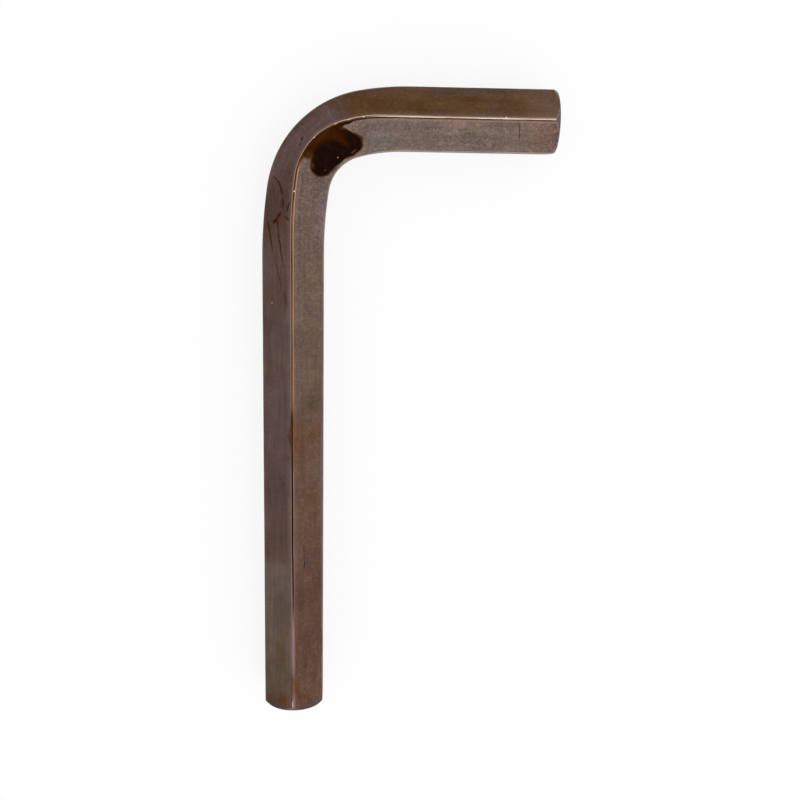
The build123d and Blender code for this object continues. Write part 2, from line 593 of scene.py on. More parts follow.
class BarPainter:
    """Lays colours over each other in the bar's map of distance along and distance round."""

    mean: ClassVar[float] = 0.5         # of all the noise
    usual_swing: ClassVar[float] = 0.2  # the noise seldom strays further than this from its mean

    def __init__(self, tree: bpy.types.NodeTree, length: float) -> None:
        """Reads the map.

        Args:
            tree: the material's node tree.
            length: the bar's length along its corner line, in millimetres.
        """
        self.tree = tree
        self.length = length
        self.map = add_node(tree, "ShaderNodeUVMap", {"uv_map": "bar"}, {}).outputs["UV"]
        split = add_node(tree, "ShaderNodeSeparateXYZ", {}, {"Vector": self.map})
        self.along, self.across = split.outputs["X"], split.outputs["Y"]
        place = add_node(tree, "ShaderNodeTexCoord", {}, {}).outputs["Object"]
        self.place = add_node(tree, "ShaderNodeVectorMath", {"operation": "SCALE"},
                              {"Vector": place, "Scale": 1 / MM}).outputs["Vector"]
        self.colour: bpy.types.NodeSocket | None = None

    def cloudy(self, grain: Grain, output: str = "Fac") -> bpy.types.NodeSocket:
        """A grain's noise, about a half in the mean."""
        return add_node(self.tree, "ShaderNodeTexNoise", {},
                        {"Vector": self.place, "Scale": 1 / grain.size, "Detail": grain.detail,
                         "Roughness": grain.roughness}).outputs[output]

    def streaky(self, streaks: Streaks) -> bpy.types.NodeSocket:
        """The noise of streaks along the bar, about a half in the mean."""
        drawn = add_node(self.tree, "ShaderNodeMapping", {},
                         {"Vector": self.map, "Scale": (1 / streaks.length, 1 / streaks.width, 1.0)})
        return add_node(self.tree, "ShaderNodeTexNoise", {},
                        {"Vector": drawn.outputs["Vector"], "Scale": 1.0,
                         "Detail": streaks.detail}).outputs["Fac"]

    def wandering(self, grain: Grain, reach: float) -> bpy.types.NodeSocket:
        """The map shifted by cloudy noise: edges drawn in it wander by about the reach."""
        cloud = self.cloudy(grain, "Color")
        shift = add_node(self.tree, "ShaderNodeVectorMath", {"operation": "MULTIPLY_ADD"},
                         {0: cloud, 1: (2 * reach, 2 * reach, 0.0), 2: (-reach, -reach, 0.0)})
        return add_node(self.tree, "ShaderNodeVectorMath", {"operation": "ADD"},
                        {0: self.map, 1: shift.outputs["Vector"]}).outputs["Vector"]

    def round_of(self, shifted: bpy.types.NodeSocket) -> bpy.types.NodeSocket:
        """The distance round the bar in a shifted map."""
        return add_node(self.tree, "ShaderNodeSeparateXYZ", {}, {"Vector": shifted}).outputs["Y"]

    def ramp(self, value: bpy.types.NodeSocket, start: float, end: float, low: float = 0.0,
             high: float = 1.0) -> bpy.types.NodeSocket:
        """A smooth step of a value: low up to the start, and high from the end on."""
        return add_node(self.tree, "ShaderNodeMapRange", {"interpolation_type": "SMOOTHSTEP"},
                        {"Value": value, "From Min": start, "From Max": end, "To Min": low,
                         "To Max": high}).outputs["Result"]

    def inverse(self, mask: bpy.types.NodeSocket) -> bpy.types.NodeSocket:
        """A mask that is 1 where another is 0."""
        return self.ramp(mask, 1.0, 0.0)

    def between(self, value: bpy.types.NodeSocket, start: float, end: float,
                blur: float) -> bpy.types.NodeSocket:
        """A mask that is 1 between two values, with edges that fade over the blur."""
        rise = self.ramp(value, start - blur, start + blur)
        fall = self.ramp(value, end + blur, end - blur)
        return self.all_of(rise, fall)

    def all_of(self, *masks: Any) -> Any:
        """The product of masks, each a socket or a plain number."""
        product = masks[0]
        for mask in masks[1:]:
            product = add_node(self.tree, "ShaderNodeMath", {"operation": "MULTIPLY"},
                               {0: product, 1: mask}).outputs["Value"]
        return product

    def tones(self, tones: tuple[Tone, ...], along: bpy.types.NodeSocket) -> bpy.types.NodeSocket:
        """Colours that run into each other along the bar."""
        share = add_node(self.tree, "ShaderNodeMath", {"operation": "DIVIDE"},
                         {0: along, 1: self.length})
        ramp = add_node(self.tree, "ShaderNodeValToRGB", {}, {"Fac": share.outputs["Value"]})
        stops = ramp.color_ramp.elements
        while len(stops) < len(tones):
            stops.new(0.5)
        for stop, tone in zip(stops, tones):
            stop.position = tone.along / self.length
            stop.color = linear(tone.colour)
        return ramp.outputs["Color"]

    def ellipse(self, patch: Patch, source: bpy.types.NodeSocket) -> bpy.types.NodeSocket:
        """A patch's mask: 1 in the middle, fading to 0 at the ellipse."""
        placed = add_node(self.tree, "ShaderNodeMapping", {"vector_type": "TEXTURE"},
                          {"Vector": source, "Location": (patch.along, patch.across, 0.0),
                           "Rotation": (0.0, 0.0, math.radians(patch.turn)),
                           "Scale": (patch.length, patch.width, 1.0)})
        inward = add_node(self.tree, "ShaderNodeTexGradient", {"gradient_type": "SPHERICAL"},
                          {"Vector": placed.outputs["Vector"]})
        return self.ramp(inward.outputs["Fac"], 0.0, patch.edge)

    def lay(self, colour: Any, *masks: Any) -> None:
        """Lays a colour over what is there, as far as the product of the masks."""
        paint = linear(colour) if isinstance(colour, str) else colour
        self.colour = add_node(self.tree, "ShaderNodeMix", {"data_type": "RGBA"},
                               {"Factor": self.all_of(*masks), 6: self.colour, 7: paint}).outputs[2]

    def lay_patches(self, patches: tuple[Patch, ...], source: bpy.types.NodeSocket,
                    *masks: Any) -> None:
        """Lays patches that are drawn in a map, as far as the masks let them."""
        for patch in patches:
            self.lay(patch.colour, self.ellipse(patch, source), patch.strength, *masks)

    def lay_flecks(self, flecks: tuple[Fleck, ...], *masks: Any) -> None:
        """Lays the flecks of colour, as far as the masks let them."""
        for fleck in flecks:
            noise = self.cloudy(fleck.grain)
            self.lay(fleck.colour, self.ramp(noise, fleck.start, fleck.full), *masks, fleck.strength)

    def shade(self, noise: bpy.types.NodeSocket, contrast: Any) -> None:
        """Lightens and darkens what is there by up to the contrast, as the noise strays from
        its mean by its usual swing."""
        stray = add_node(self.tree, "ShaderNodeMath", {"operation": "SUBTRACT"},
                         {0: noise, 1: self.mean})
        swing = add_node(self.tree, "ShaderNodeMath", {"operation": "MULTIPLY"},
                         {0: stray.outputs["Value"], 1: contrast})
        factor = add_node(self.tree, "ShaderNodeMath", {"operation": "MULTIPLY_ADD"},
                          {0: swing.outputs["Value"], 1: 1 / self.usual_swing, 2: 1.0})
        self.colour = add_node(self.tree, "ShaderNodeVectorMath", {"operation": "SCALE"},
                               {"Vector": self.colour,
                                "Scale": factor.outputs["Value"]}).outputs["Vector"]


@dataclass(frozen=True)
class OxidisedSteel:
    """Tool steel, hot worked and oxidised brown, lacquered with old oil: a semi-gloss metal
    whose colour runs from grey to golden brown along the bar, with fine streaks along it
    where it was drawn, cloudy mottling where the oil dried, and bare steel on its edges.
    Places along and round the bar are in millimetres."""

    # The finish also has painted light in it: a painted halo along the top edge, painted highlight and
    # shade lines on that edge, and painted glints, sheen and shaded rims.
    name: str = "brown_oxidised_tool_steel"
    metallic: float = 0.97
    roughness: float = 0.46
    roughness_swing: float = 0.05
    bare_roughness: float = 0.32
    oil_roughness: float = 0.22
    relief: float = 0.006 * MM          # height of the drawing streaks and of the oxide's grain
    streak_share: float = 0.8           # of the relief, beside the grain's

    # Pattern sizes in millimetres. The oxide's own grain is some 0.02 mm, too fine to show,
    # so it and the dried oil's mottling are drawn as coarse as the eye can just make out.
    oxide_grain: Grain = Grain(0.13, 2.0, 0.7)
    drift: Grain = Grain(5.0, 3.0)
    handling: Grain = Grain(1.2)
    gloss_grain: Grain = Grain(1.6, 3.0, 0.6)
    wear_grain: Grain = Grain(0.8, 3.0, 0.6)
    ground_grain: Grain = Grain(0.9, 4.0, 0.6)
    drawing_streaks: Streaks = Streaks(5.0, 0.3)
    rolling_streaks: Streaks = Streaks(6.0, 1.0, 2.0)
    edge_wear: Streaks = Streaks(3.0, 0.8)
    creases: Streaks = Streaks(0.35, 3.0, 2.0)

    # How much the patterns lighten and darken, as a share.
    drift_contrast: float = 0.1
    rolling_contrast: float = 0.08
    handling_contrast: float = 0.07
    drawing_contrast: float = 0.1
    oxide_contrast: float = 0.15
    crease_contrast: float = 0.1
    ground_contrast: float = 0.14

    # How edges wander: the noise and the reach.
    patch_wander: tuple[Grain, float] = (Grain(1.3, 2.0, 0.6), 0.7)
    line_wander: tuple[Grain, float] = (Grain(0.7, 2.0, 0.6), 0.12)
    pool_wander: tuple[Grain, float] = (Grain(1.3, 1.0, 0.6), 0.3)
    tone_wander: float = 2.0
    top_edge_wander: float = 0.25       # share of the lines' wandering

    # Where things begin and end along the bar.
    bend: tuple[float, float, float] = (55.5, 62.5, 1.5)    # start, end and blur
    bend_exit: tuple[float, float] = (63.0, 66.0)
    oil_and_shade_seam_start: tuple[float, float] = (55.6, 56.4)            # from here a dark line lies along the edge: oil beside the pool, then painted shade along the short arm
    mottled: tuple[float, float] = (29.0, 66.0)             # grows from the one to the other
    # painted light: the painted halo along the top edge grows from weak to strong over this run
    halo_light_span: tuple[float, float] = (4.0, 20.0)
    worn_tip: tuple[float, float] = (13.0, 19.0)
    worn_shift: float = 0.05            # of the top edge's lines at the worn tip
    tip_face_blend: float = 0.3
    short_half: tuple[float, float] = (40.0, 41.0)          # between the two tips' colours

    # How far things reach round the bar.
    side_blend: float = 0.05            # half width of the border between the two sides
    # painted light: how far the painted halo reaches round the bar from the top edge
    halo_light_width: tuple[float, float] = (0.8, 0.1)
    pool_floor: tuple[float, float] = (3.3, 3.02)

    # Levels of noise or of a mask between which a thing fades in, and how strong it gets.
    patch_wear: tuple[float, float] = (0.3, 0.55)
    patch_least: float = 0.35
    gloss_levels: tuple[float, float] = (0.3, 0.7)
    edge_worn: tuple[float, float] = (0.4, 0.65)
    bare_strength: float = 0.5
    beside_strength: float = 0.5
    # painted light: the painted halo's strength, and its share on the inner side
    halo_light_strength: tuple[float, float] = (0.1, 0.4)       # at its two places along the bar
    halo_light_inner_share: float = 0.45
    mottled_least: float = 0.25
    mottled_outer_share: float = 0.3
    pool_rim_depth: tuple[float, float] = (0.02, 0.4)
    pool_rim_strength: float = 0.92
    pool_body_depth: tuple[float, float] = (0.2, 0.85)
    bevel_depth: tuple[float, float] = (0.4, 0.9)
    break_band: tuple[float, float, float] = (0.2, 0.8, 0.2)    # start, end and blur
    break_strength: float = 0.6

    # Colours.
    bare_steel: str = "#8c766a"
    # painted light: the colour of the lighter halo painted along the top edge
    halo_light_colour: str = "#86706a"
    pool_rim: str = "#482a10"
    pool_body: str = "#140602"
    long_bevel: str = "#644c40"
    short_bevel: str = "#665458"
    tip_face: str = "#5c4a44"
    bevel_break: str = "#92796c"
    tints: tuple[Fleck, ...] = (
        # olive and lilac
        Fleck(Grain(2.2, 3.0, 0.6), "#66503a", 0.5, 0.72, 0.28),
        Fleck(Grain(2.2, 3.0, 0.6), "#5e4c4e", 0.5, 0.3, 0.22))
    mottles: tuple[Fleck, ...] = (
        # pink and grey, then dark and light specks
        Fleck(Grain(0.34, 4.0, 0.75), "#967a6c", 0.5, 0.66, 0.5),
        Fleck(Grain(0.34, 4.0, 0.75), "#443c3a", 0.5, 0.3, 0.4),
        Fleck(Grain(0.15, 3.0, 0.75), "#3c3430", 0.48, 0.3, 0.5),
        Fleck(Grain(0.15, 3.0, 0.75), "#a48c7c", 0.54, 0.7, 0.4))
    pool_clouds: tuple[Fleck, ...] = (Fleck(Grain(0.7, 3.0, 0.65), "#200e05", 0.5, 0.7, 0.7),)
    # the outer and the inner side's colours along the bar
    outer_tones: tuple[Tone, ...] = (
        Tone(0.0, "#4a3f3f"), Tone(0.9, "#634c3e"), Tone(3.0, "#655449"), Tone(15.8, "#6a5a51"),
        Tone(16.7, "#5e4a42"), Tone(30.0, "#62504c"), Tone(47.0, "#645048"), Tone(51.0, "#594239"),
        Tone(57.0, "#67514e"), Tone(61.6, "#66504b"), Tone(63.2, "#5f4124"), Tone(79.0, "#664a30"),
        Tone(82.0, "#6f5645"))
    inner_tones: tuple[Tone, ...] = (
        Tone(0.0, "#493e40"), Tone(0.9, "#5d4438"), Tone(8.0, "#553a30"), Tone(20.0, "#5a4338"),
        Tone(30.0, "#5a4438"), Tone(34.0, "#5f4d43"), Tone(46.0, "#645349"), Tone(54.0, "#67564d"),
        Tone(65.0, "#6e6159"), Tone(79.0, "#6e5f56"), Tone(82.2, "#70594e"), Tone(82.8, "#50464c"))
    # the top edge: pale beside it past the bend, then its three lines from the outer side. The outer
    # and inner lines are painted highlights beside the edge's rounding; the inner one turns past the
    # pool to a dark seam, oil beside the pool and painted shade further along the short arm. The
    # middle one is a dark line of oil down the long arm and a painted highlight, partly bare steel,
    # along the short arm
    beside_edge: Strip = Strip(0.24, 0.36, 0.05, (Tone(0.0, "#94786c"), Tone(80.0, "#94786c")))
    # painted highlight: a lighter line beside the top edge's rounding on the outer side
    outer_highlight_line: Strip = Strip(-0.2, -0.08, 0.03, (
        Tone(0.6, "#604838"), Tone(3.6, "#604636"), Tone(6.0, "#826e68"), Tone(14.0, "#98807a"),
        Tone(18.0, "#8a746e"), Tone(25.0, "#8a746c"), Tone(27.0, "#76563e"), Tone(31.4, "#623c1c"),
        Tone(32.4, "#8c746c"), Tone(40.0, "#a08880"), Tone(47.0, "#a08478"), Tone(53.0, "#ac8c76"),
        Tone(56.0, "#b8927a"), Tone(58.5, "#ccaa94"), Tone(61.0, "#bc9c86"), Tone(62.0, "#e6cab6"),
        Tone(64.0, "#dcc4b2"), Tone(66.0, "#b49a8a"), Tone(71.0, "#8e725c"), Tone(79.0, "#927660"),
        Tone(81.9, "#ac9284")))
    # a dark line of oil down the long arm, then a painted highlight, partly bare steel, along the
    # short arm
    middle_oil_and_highlight_line: Strip = Strip(-0.1, 0.06, 0.025, (
        Tone(0.3, "#7c645a"), Tone(1.4, "#785e52"), Tone(2.2, "#6a4a3a"), Tone(3.5, "#60422c"),
        Tone(5.0, "#705852"), Tone(9.0, "#7c6664"), Tone(10.4, "#6a4e46"), Tone(11.6, "#462a20"),
        Tone(14.0, "#34160e"), Tone(17.0, "#220a04"), Tone(20.0, "#0e0000"), Tone(25.0, "#120200"),
        Tone(28.0, "#281000"), Tone(31.4, "#301400"), Tone(32.4, "#60441a"), Tone(37.0, "#543414"),
        Tone(41.0, "#644628"), Tone(47.0, "#52321a"), Tone(50.5, "#684c32"), Tone(53.0, "#50320e"),
        Tone(57.0, "#401e00"), Tone(59.0, "#381800"), Tone(61.0, "#543018"), Tone(62.2, "#4a2a14"),
        Tone(64.2, "#644630"), Tone(65.6, "#b8a28e"), Tone(69.0, "#e2cebe"), Tone(72.5, "#c8b09c"),
        Tone(77.5, "#dccab8"), Tone(80.0, "#c4ae9c"), Tone(81.9, "#d0bca8")))
    # painted highlight beside the top edge on the inner side, with the dark tones of the seam after it
    inner_highlight_and_seam_line: Strip = Strip(0.1, 0.175, 0.03, (
        Tone(0.6, "#62483a"), Tone(3.4, "#5c4028"), Tone(6.0, "#705650"), Tone(11.0, "#745850"),
        Tone(17.0, "#7e6256"), Tone(25.0, "#84665a"), Tone(27.0, "#74503a"), Tone(31.4, "#74503a"),
        Tone(33.0, "#94786c"), Tone(40.0, "#92786c"), Tone(50.0, "#a88a76"), Tone(55.4, "#a4846e"),
        Tone(56.2, "#54300c"), Tone(57.0, "#2c1000"), Tone(61.5, "#220c00"), Tone(63.0, "#261004"),
        Tone(66.0, "#2c180a"), Tone(76.0, "#402812"), Tone(78.0, "#644a36"), Tone(80.0, "#402812")))
    # the dark seam: oil beside the pool, then a painted shade line along the short arm
    oil_seam_and_shade_line: Strip = Strip(0.03, 0.155, 0.025, inner_highlight_and_seam_line.tones)
    # burnt brown round the long tip, then dried drips along the long arm
    long_arm_patches: tuple[Patch, ...] = (
        Cloud(1.2, -1.3, 1.2, 1.5, "#583418", 0.85), Cloud(1.0, -2.9, 0.9, 0.9, "#5c3a24", 0.7),
        Cloud(5.5, -1.3, 1.1, 0.5, "#5c3d1c", 0.75), Cloud(7.0, -1.2, 6.5, 1.1, "#645036", 0.7),
        Cloud(9.0, -2.7, 6.5, 0.9, "#70625e", 0.6), Cloud(2.2, 0.5, 1.7, 0.65, "#563516", 0.9, -8),
        Cloud(2.9, 0.05, 1.3, 0.3, "#5c3e22", 0.8), Cloud(3.6, -0.5, 1.0, 0.5, "#5c4230", 0.6),
        Cloud(1.2, 1.4, 1.6, 0.6, "#56341a", 0.85, 118), Cloud(4.4, 0.75, 0.6, 0.4, "#5c3c1c", 0.7),
        Cloud(5.0, 1.5, 1.3, 0.25, "#4c2e1e", 0.7), Cloud(3.0, 2.4, 0.9, 0.4, "#543622", 0.6, 10),
        Cloud(2.5, 1.5, 1.6, 0.2, "#503428", 0.5), Cloud(4.0, 3.0, 2.2, 0.5, "#6c5a52", 0.6),
        Cloud(29.4, -0.12, 2.4, 0.34, "#4e2608", 0.85), Cloud(28.6, 0.6, 3.2, 1.1, "#5c3a24", 0.75),
        Cloud(29.3, 2.3, 1.7, 0.9, "#573923", 0.8, 100), Cloud(27.3, -0.9, 1.0, 0.7, "#543a2c", 0.6),
        Cloud(33.0, 2.2, 1.6, 0.9, "#3f352e", 0.75), Cloud(22.8, 2.0, 2.8, 1.3, "#5c3f2a", 0.8),
        Cloud(25.6, 2.5, 2.2, 1.1, "#62524a", 0.6), Cloud(20.6, 2.3, 1.3, 0.3, "#4a352c", 0.5),
        Cloud(24.4, -1.2, 1.0, 0.7, "#523c30", 0.6), Cloud(29.0, -2.8, 3.0, 0.8, "#655658", 0.6),
        Cloud(40.0, -2.9, 2.0, 0.8, "#54403a", 0.6), Cloud(52.0, 3.1, 6.5, 0.8, "#665a5e", 0.7))
    # grey and pink on the inner side, golden brown on the outer side, dark creases in the bend
    short_arm_patches: tuple[Patch, ...] = (
        Patch(57.2, 2.2, 2.9, 1.5, "#4c3a32", 0.6), Cloud(64.0, 1.2, 1.6, 1.6, "#5e4e48", 0.8),
        Cloud(54.6, 2.6, 1.5, 0.8, "#52443e", 0.7), Cloud(65.6, 2.2, 2.4, 1.3, "#706c6a", 0.8),
        Cloud(74.0, 1.9, 4.5, 0.9, "#55504a", 0.6), Cloud(73.5, 2.45, 3.2, 0.2, "#4c3d37", 0.5),
        Cloud(81.7, 1.9, 1.8, 2.0, "#6e5044", 0.6), Cloud(72.0, 0.4, 10.0, 0.6, "#7e6258", 0.6),
        Cloud(80.6, 0.8, 1.6, 0.7, "#7c6258", 0.5), Cloud(65.0, -1.6, 2.4, 1.6, "#5c3c18", 0.6),
        Cloud(74.5, -1.7, 1.6, 1.3, "#5a3a16", 0.7), Cloud(69.5, -1.3, 1.8, 1.0, "#5c3c1a", 0.6),
        Cloud(78.8, -1.5, 1.6, 1.0, "#5e4020", 0.6), Cloud(73.0, -3.2, 11.0, 1.0, "#5c4c42", 0.8),
        Cloud(77.0, -0.6, 1.5, 0.9, "#66503f", 0.5), Cloud(58.6, -3.2, 3.6, 1.1, "#4a382e", 0.8),
        Cloud(61.2, -1.2, 2.0, 1.4, "#6e5654", 0.6), Cloud(61.6, -2.5, 1.4, 0.5, "#563a26", 0.7, 70),
        Cloud(60.2, -2.2, 1.1, 0.3, "#5c4438", 0.6, 65))
    # dried oil on the upright flats and the underside
    lower_patches: tuple[Patch, ...] = (
        Patch(12.0, -5.2, 5.0, 0.9, "#5a3f2c", 0.5), Patch(38.0, -4.7, 6.0, 1.1, "#5c4232", 0.45),
        Patch(70.0, -5.4, 4.5, 0.8, "#573a22", 0.5), Patch(25.0, -8.6, 6.0, 1.3, "#54402f", 0.5),
        Patch(52.0, -8.2, 4.0, 1.0, "#4e3a30", 0.5), Patch(20.0, 5.0, 6.0, 1.0, "#5c4434", 0.45),
        Patch(44.0, 5.4, 5.0, 0.8, "#54402f", 0.45), Patch(74.0, 5.0, 4.0, 0.9, "#5c4230", 0.45),
        Patch(10.0, 8.5, 4.0, 1.2, "#573f30", 0.5), Patch(34.0, 8.2, 6.0, 1.0, "#5c4636", 0.45),
        Patch(58.0, 8.8, 3.5, 1.2, "#3c2818", 0.6), Patch(76.0, 8.4, 3.0, 0.9, "#5a3e28", 0.5))
    # runs of oil on the outer side, then a bruise along the long arm's inner flat and a
    # scratch across the short arm's
    oil_lines: tuple[Patch, ...] = (
        Cloud(43.1, -0.75, 1.2, 0.3, "#4e3418", 0.7, -12),
        Patch(45.6, -1.6, 2.6, 0.11, "#4e3222", 0.65, -16.5),
        Patch(48.9, -2.5, 2.2, 0.13, "#4c2814", 0.85, -14),
        Patch(50.0, -2.8, 0.7, 0.15, "#4c2814", 0.8, -8),
        Patch(48.4, -1.38, 3.2, 0.12, "#4a260e", 0.95, -9.5),
        Patch(50.5, -2.05, 0.5, 0.24, "#42180a", 1.0, 50),
        Patch(51.0, -1.62, 0.6, 0.24, "#4a1c0a", 1.0, 30),
        Patch(50.3, -1.75, 0.5, 0.14, "#42180a", 0.9, -5),
        Patch(52.2, -1.22, 0.65, 0.15, "#42200e", 0.95, -6),
        Patch(53.4, -1.58, 0.65, 0.19, "#42200e", 0.95, -26),
        Patch(54.0, -2.0, 0.6, 0.15, "#46240f", 0.9, -50),
        Patch(54.4, -2.6, 0.5, 0.13, "#4c3020", 0.8, -60),
        Cloud(53.0, -2.5, 1.6, 0.25, "#50382c", 0.7, -17),
        Patch(50.8, -0.62, 0.42, 0.12, "#42200e", 0.9, -52),
        Patch(51.95, -0.55, 0.75, 0.13, "#42200e", 0.9, 22),
        Patch(58.1, -1.33, 0.34, 0.16, "#1c1418", 0.95, -25),
        Patch(57.6, -1.08, 0.25, 0.1, "#30221f", 0.85, -35),
        Patch(42.6, -2.32, 0.14, 0.08, "#a8a098", 0.8, 30),
        Patch(15.9, 1.32, 0.6, 0.13, "#20242e", 0.95), Patch(17.1, 1.3, 1.3, 0.12, "#343038", 0.75),
        Patch(78.95, 1.15, 1.6, 0.06, "#2c1e1a", 0.9, 83))
    # the pool's outline is that of its lobes together, above its floor; the last is its tail
    pool_lobes: tuple[Patch, ...] = (
        Lobe(57.45, 2.1, 2.25, 1.6), Lobe(61.5, 2.15, 2.42, 1.35), Lobe(59.5, 1.6, 2.6, 2.2),
        Lobe(59.4, 0.0, 3.0, 1.6), Lobe(61.3, 1.2, 2.25, 1.0, turn=32),
        Spot(61.5, 0.14, 2.1, 0.2))
    # brown where the oil lies thin, then two specks of painted highlight on it and a pale rim below it
    pool_browns_and_glints: tuple[Patch, ...] = (
        Cloud(59.4, 0.3, 3.2, 0.75, "#3a1c02", 1.0), Cloud(57.2, 0.5, 0.8, 0.6, "#4c2804", 0.9),
        Cloud(60.7, 0.9, 1.6, 0.7, "#341502", 1.0, 10), Cloud(61.3, 1.6, 1.3, 0.5, "#341402", 1.0, 42),
        Cloud(56.5, 1.1, 0.7, 0.35, "#482c0a", 0.8, -45),
        # painted highlights: the two small pale specks on the oil
        Cloud(61.9, 0.6, 0.8, 0.35, "#3c1c06", 0.9, 30), Patch(59.62, 2.62, 0.16, 0.1, "#a87844", 0.9),
        Patch(56.6, 2.6, 0.12, 0.08, "#80543a", 0.8), Patch(62.3, 2.85, 0.5, 0.1, "#5c3420", 0.8, -10),
        Patch(61.6, 3.2, 1.3, 0.14, "#66504e", 0.8))
    # the sheen of the worn edge, glints on nicks, and shaded rims at the inner flat's lower edge
    glints: tuple[Patch, ...] = (
        Cloud(6.8, -0.06, 3.6, 0.3, "#7e6a68", 0.7), Spot(53.4, 0.0, 0.08, 0.07, "#f4e4d4", 1.0),
        Spot(58.9, -0.12, 0.12, 0.08, "#f4e4d4", 0.9), Spot(61.3, -0.08, 0.25, 0.05, "#dcc4b2", 0.9),
        Spot(62.6, -0.08, 0.3, 0.05, "#dcc4b2", 0.9), Spot(64.0, -0.08, 0.15, 0.07, "#f4ece4", 0.9),
        Spot(77.6, -0.12, 0.08, 0.14, "#f4e6da", 1.0, 20), Spot(0.9, -0.03, 0.5, 0.04, "#b8a496", 0.8),
        Spot(28.0, 3.42, 27.0, 0.28, "#64545a", 0.75), Patch(57.5, 3.2, 1.4, 0.18, "#443230", 0.7))

    def material(self, length: float) -> bpy.types.Material:
        """Builds the material.

        Args:
            length: the bar's length along its corner line, in millimetres.

        Returns:
            The material.
        """
        made = bpy.data.materials.new(self.name)
        made.use_nodes = True
        tree = made.node_tree
        painter = BarPainter(tree, length)
        inner = painter.ramp(painter.across, -self.side_blend, self.side_blend)
        drift = painter.cloudy(self.drift)
        grain = painter.cloudy(self.oxide_grain)
        drawn = painter.streaky(self.drawing_streaks)
        self.paint_tones(painter, inner, drift)
        worn_through = painter.ramp(painter.cloudy(self.wear_grain), *self.patch_wear,
                                    self.patch_least, 1.0)
        painter.lay_patches(self.long_arm_patches + self.short_arm_patches + self.lower_patches,
                            painter.wandering(*self.patch_wander), worn_through)
        self.paint_mottles(painter, inner)
        painter.shade(drift, self.drift_contrast)
        painter.shade(painter.streaky(self.rolling_streaks), self.rolling_contrast)
        painter.shade(painter.cloudy(self.handling), self.handling_contrast)
        painter.shade(drawn, self.drawing_contrast)
        painter.shade(grain, self.oxide_contrast)
        self.paint_creases(painter, inner)
        close = painter.wandering(*self.line_wander)
        painter.lay_patches(self.oil_lines, close)
        pool = self.paint_pool(painter, inner)
        bare = self.paint_edges(painter, close)
        painter.lay_patches(self.glints, painter.map)
        self.paint_tips(painter)
        shader = tree.nodes["Principled BSDF"]
        tree.links.new(painter.colour, shader.inputs["Base Color"])
        shader.inputs["Metallic"].default_value = self.metallic
        self.set_roughness(painter, shader, bare, pool)
        self.set_relief(painter, shader, drawn, grain)
        return made

    def paint_tones(self, painter: BarPainter, inner: bpy.types.NodeSocket,
                    drift: bpy.types.NodeSocket) -> None:
        """Lays the two sides' colours, with borders that wander, tints of olive and lilac, and a
        painted halo: a lighter band of painted light on either side of the top edge.

        Args:
            painter: the map's painter.
            inner: the mask of the inner side.
            drift: the noise that the borders wander by.
        """
        shifted = add_node(painter.tree, "ShaderNodeMath", {"operation": "MULTIPLY_ADD"},
                           {0: drift, 1: self.tone_wander, 2: painter.along})
        along = add_node(painter.tree, "ShaderNodeMath", {"operation": "SUBTRACT"},
                         {0: shifted.outputs["Value"],
                          1: self.tone_wander * painter.mean}).outputs["Value"]
        painter.colour = painter.tones(self.outer_tones, along)
        painter.lay(painter.tones(self.inner_tones, along), inner)
        painter.lay_flecks(self.tints)
        # a painted halo of light: lighter on either side of the top edge
        aside = add_node(painter.tree, "ShaderNodeMath", {"operation": "ABSOLUTE"},
                         {0: painter.across}).outputs["Value"]
        painter.lay(self.halo_light_colour, painter.ramp(aside, *self.halo_light_width),
                    painter.ramp(painter.along, *self.halo_light_span, *self.halo_light_strength),
                    painter.ramp(inner, 0.0, 1.0, 1.0, self.halo_light_inner_share))

    def paint_mottles(self, painter: BarPainter, inner: bpy.types.NodeSocket) -> None:
        """Mottles the oxide pink and grey: strongly on the inner side past the drips."""
        along = painter.ramp(painter.along, *self.mottled, self.mottled_least, 1.0)
        side = painter.ramp(inner, 0.0, 1.0, self.mottled_outer_share, 1.0)
        strong = painter.all_of(side, along)
        painter.lay_flecks(self.mottles, strong)

    def paint_creases(self, painter: BarPainter, inner: bpy.types.NodeSocket) -> None:
        """Shades the fine creases that run across the outside of the bend, where the bar was
        stretched."""
        stretched = painter.all_of(painter.between(painter.along, *self.bend), painter.inverse(inner),
                                   self.crease_contrast)
        painter.shade(painter.streaky(self.creases), stretched)

    def paint_pool(self, painter: BarPainter, inner: bpy.types.NodeSocket) -> bpy.types.NodeSocket:
        """Lays the pool of burnt oil in the bend: a brown rim, a black body, golden brown where it
        lies thin, and two painted highlights on it.

        Args:
            painter: the map's painter.
            inner: the mask of the inner side.

        Returns:
            The pool's mask.
        """
        near = painter.wandering(*self.pool_wander)
        pool = painter.ellipse(self.pool_lobes[0], near)
        for lobe in self.pool_lobes[1:]:
            pool = add_node(painter.tree, "ShaderNodeMath", {"operation": "MAXIMUM"},
                            {0: pool, 1: painter.ellipse(lobe, near)}).outputs["Value"]
        above_floor = painter.ramp(painter.round_of(near), *self.pool_floor)
        pool = painter.all_of(pool, above_floor, inner)
        rim = painter.ramp(pool, *self.pool_rim_depth)
        body = painter.ramp(pool, *self.pool_body_depth)
        painter.lay(self.pool_rim, rim, self.pool_rim_strength)
        painter.lay(self.pool_body, body)
        painter.lay_flecks(self.pool_clouds, body)
        # the oil's thin brown parts, then two specks of painted highlight
        painter.lay_patches(self.pool_browns_and_glints, near, body)
        return rim

